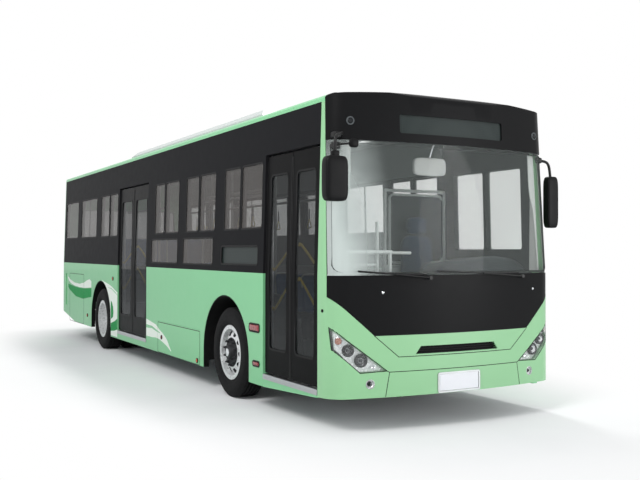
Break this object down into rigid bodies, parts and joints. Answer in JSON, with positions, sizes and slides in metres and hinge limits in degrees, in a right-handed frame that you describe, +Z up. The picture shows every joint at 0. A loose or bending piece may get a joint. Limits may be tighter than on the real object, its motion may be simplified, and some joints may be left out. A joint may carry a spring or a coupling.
{
  "type": "city bus",
  "caption": "Low-floor single-deck city bus with steered front wheels, twin rear wheels, inward-gliding doors, a full-height windscreen and a roof pod; engine hatch and side flaps lift.",
  "frame": {"origin": "on the ground under the middle of the whole bus with its mirrors", "axes": "+Z up, the bus's front faces -Y, its left side is +X and its door side is -X"},
  "size_m": [2.82, 10.6, 3.1649],
  "materials": {
    "body_green": "mint green gloss paint",
    "body_black": "charcoal black gloss paint",
    "pod_white": "moulded white shell",
    "bumper_green": "mint green gloss paint",
    "panel_black": "moulded, semi-gloss",
    "glass": "toughened, lightly tinted",
    "lamp_lens": "clear lens",
    "marker_lens": "coloured lens",
    "sign_black": "blank dot display",
    "frame_steel": "dark chassis paint",
    "axle_iron": "forged and painted dark",
    "floor_vinyl": "ribbed vinyl on plate",
    "housing_grey": "moulded",
    "rim_silver": "silver paint",
    "tyre": "ribbed road tread",
    "door_frame": "black-finished profile",
    "door_post": "bright tube",
    "mirror_black": "moulded housing",
    "wiper_black": "satin",
    "dash_grey": "moulded",
    "seat_blue": "moulded, with a fabric pad",
    "driver_fabric": "woven cover",
    "rail_yellow": "powder coat",
    "engine_grey": "cast, unpainted"
  },
  "bodies": {
    "chassis": {"chassis_frame": "frame_steel", "cross_members": "frame_steel", "floor": "floor_vinyl", "wheel_housings": "housing_grey", "front_axle": "axle_iron", "rear_axle": "axle_iron", "power_unit": "engine_grey", "front_surround": "bumper_green", "front_mask": "panel_black", "grille_panel": "bumper_green", "headlamps": "lamp_lens", "windscreen": "glass", "front_cap": "body_black", "destination_signs": "sign_black", "roof": "body_green", "roof_pod": "pod_white", "right_panels": "body_green", "door_skirts": "body_green", "right_band": "body_black", "right_cantrail": "body_black", "right_windows": "glass", "left_panels": "body_green", "left_band": "body_black", "left_windows": "glass", "rear_panel": "body_green", "rear_window": "glass", "marker_lamps": "marker_lens", "outside_mirrors": "mirror_black", "wipers": "wiper_black", "dashboard": "dash_grey", "steering_wheel": "dash_grey", "driver_seat": "driver_fabric", "passenger_seats": "seat_blue", "handrails": "rail_yellow"},
    "front_left_knuckle": {"front_left_knuckle": "axle_iron"},
    "front_right_knuckle": {"front_right_knuckle": "axle_iron"},
    "tie_rod": {"tie_rod": "frame_steel"},
    "front_left_wheel": {"front_left_rim": "rim_silver", "front_left_tyre": "tyre"},
    "front_right_wheel": {"front_right_rim": "rim_silver", "front_right_tyre": "tyre"},
    "rear_left_wheels": {"rear_left_rims": "rim_silver", "rear_left_tyres": "tyre"},
    "rear_right_wheels": {"rear_right_rims": "rim_silver", "rear_right_tyres": "tyre"},
    "front_door_fore_arms": {"front_door_fore_post": "door_post"},
    "front_door_fore_leaf": {"front_door_fore_leaf": "door_frame", "front_door_fore_glass": "glass"},
    "front_door_aft_arms": {"front_door_aft_post": "door_post"},
    "front_door_aft_leaf": {"front_door_aft_leaf": "door_frame", "front_door_aft_glass": "glass"},
    "mid_door_fore_arms": {"mid_door_fore_post": "door_post"},
    "mid_door_fore_leaf": {"mid_door_fore_leaf": "door_frame", "mid_door_fore_glass": "glass"},
    "mid_door_aft_arms": {"mid_door_aft_post": "door_post"},
    "mid_door_aft_leaf": {"mid_door_aft_leaf": "door_frame", "mid_door_aft_glass": "glass"},
    "engine_hatch": {"engine_hatch": "body_green"},
    "service_flap": {"service_flap": "body_green"},
    "rear_flap": {"rear_flap": "body_green"}
  },
  "joints": [
    {"name": "left_steer", "type": "hinge", "parent": "chassis", "child": "front_left_knuckle", "pos_m": [0.905, -2.77, 0.479], "axis": [0, 0, 1], "range_deg": [-35, 35]},
    {"name": "right_steer", "type": "hinge", "parent": "chassis", "child": "front_right_knuckle", "pos_m": [-0.905, -2.77, 0.479], "axis": [0, 0, 1], "range_deg": [-35, 35]},
    {"name": "tie_rod_end", "type": "hinge", "parent": "front_left_knuckle", "child": "tie_rod", "pos_m": [0.905, -2.585, 0.212], "axis": [0, 0, 1], "range_deg": [-35, 35]},
    {"name": "front_left_roll", "type": "hinge", "parent": "front_left_knuckle", "child": "front_left_wheel", "pos_m": [1.0725, -2.77, 0.479], "axis": [1, 0, 0], "continuous": true},
    {"name": "front_right_roll", "type": "hinge", "parent": "front_right_knuckle", "child": "front_right_wheel", "pos_m": [-1.0725, -2.77, 0.479], "axis": [1, 0, 0], "continuous": true},
    {"name": "rear_left_roll", "type": "hinge", "parent": "chassis", "child": "rear_left_wheels", "pos_m": [1.1005, 2.415, 0.479], "axis": [1, 0, 0], "continuous": true},
    {"name": "rear_right_roll", "type": "hinge", "parent": "chassis", "child": "rear_right_wheels", "pos_m": [-1.1005, 2.415, 0.479], "axis": [1, 0, 0], "continuous": true},
    {"name": "front_door_fore_post_turn", "type": "hinge", "parent": "chassis", "child": "front_door_fore_arms", "pos_m": [-1.134, -4.875, 1.435], "axis": [0, 0, -1], "range_deg": [0, 68]},
    {"name": "front_door_fore_leaf_turn", "type": "hinge", "parent": "front_door_fore_arms", "child": "front_door_fore_leaf", "pos_m": [-1.134, -4.56013, 1.435], "axis": [0, 0, -1], "range_deg": [-158, 0]},
    {"name": "front_door_aft_post_turn", "type": "hinge", "parent": "chassis", "child": "front_door_aft_arms", "pos_m": [-1.134, -3.7, 1.435], "axis": [0, 0, 1], "range_deg": [0, 68]},
    {"name": "front_door_aft_leaf_turn", "type": "hinge", "parent": "front_door_aft_arms", "child": "front_door_aft_leaf", "pos_m": [-1.134, -4.01487, 1.435], "axis": [0, 0, 1], "range_deg": [-158, 0]},
    {"name": "mid_door_fore_post_turn", "type": "hinge", "parent": "chassis", "child": "mid_door_fore_arms", "pos_m": [-1.134, -0.021, 1.435], "axis": [0, 0, -1], "range_deg": [0, 68]},
    {"name": "mid_door_fore_leaf_turn", "type": "hinge", "parent": "mid_door_fore_arms", "child": "mid_door_fore_leaf", "pos_m": [-1.134, 0.37954, 1.435], "axis": [0, 0, -1], "range_deg": [-158, 0]},
    {"name": "mid_door_aft_post_turn", "type": "hinge", "parent": "chassis", "child": "mid_door_aft_arms", "pos_m": [-1.134, 1.471, 1.435], "axis": [0, 0, 1], "range_deg": [0, 68]},
    {"name": "mid_door_aft_leaf_turn", "type": "hinge", "parent": "mid_door_aft_arms", "child": "mid_door_aft_leaf", "pos_m": [-1.134, 1.07046, 1.435], "axis": [0, 0, 1], "range_deg": [-158, 0]},
    {"name": "engine_hatch_lift", "type": "hinge", "parent": "chassis", "child": "engine_hatch", "pos_m": [0, 5.3, 1.29], "axis": [1, 0, 0], "range_deg": [0, 80]},
    {"name": "service_flap_lift", "type": "hinge", "parent": "chassis", "child": "service_flap", "pos_m": [-1.244, -1.2565, 0.654], "axis": [0, 1, 0], "range_deg": [0, 85]},
    {"name": "rear_flap_lift", "type": "hinge", "parent": "chassis", "child": "rear_flap", "pos_m": [-1.244, 4.086, 1.17], "axis": [0, 1, 0], "range_deg": [0, 85]}
  ],
  "couplings": [
    {"joint": "right_steer", "follows": "left_steer", "ratio": 1},
    {"joint": "tie_rod_end", "follows": "left_steer", "ratio": -1},
    {"joint": "front_door_fore_leaf_turn", "follows": "front_door_fore_post_turn", "ratio": -2.3235},
    {"joint": "front_door_aft_leaf_turn", "follows": "front_door_aft_post_turn", "ratio": -2.3235},
    {"joint": "mid_door_fore_leaf_turn", "follows": "mid_door_fore_post_turn", "ratio": -2.3235},
    {"joint": "mid_door_aft_leaf_turn", "follows": "mid_door_aft_post_turn", "ratio": -2.3235}
  ]
}
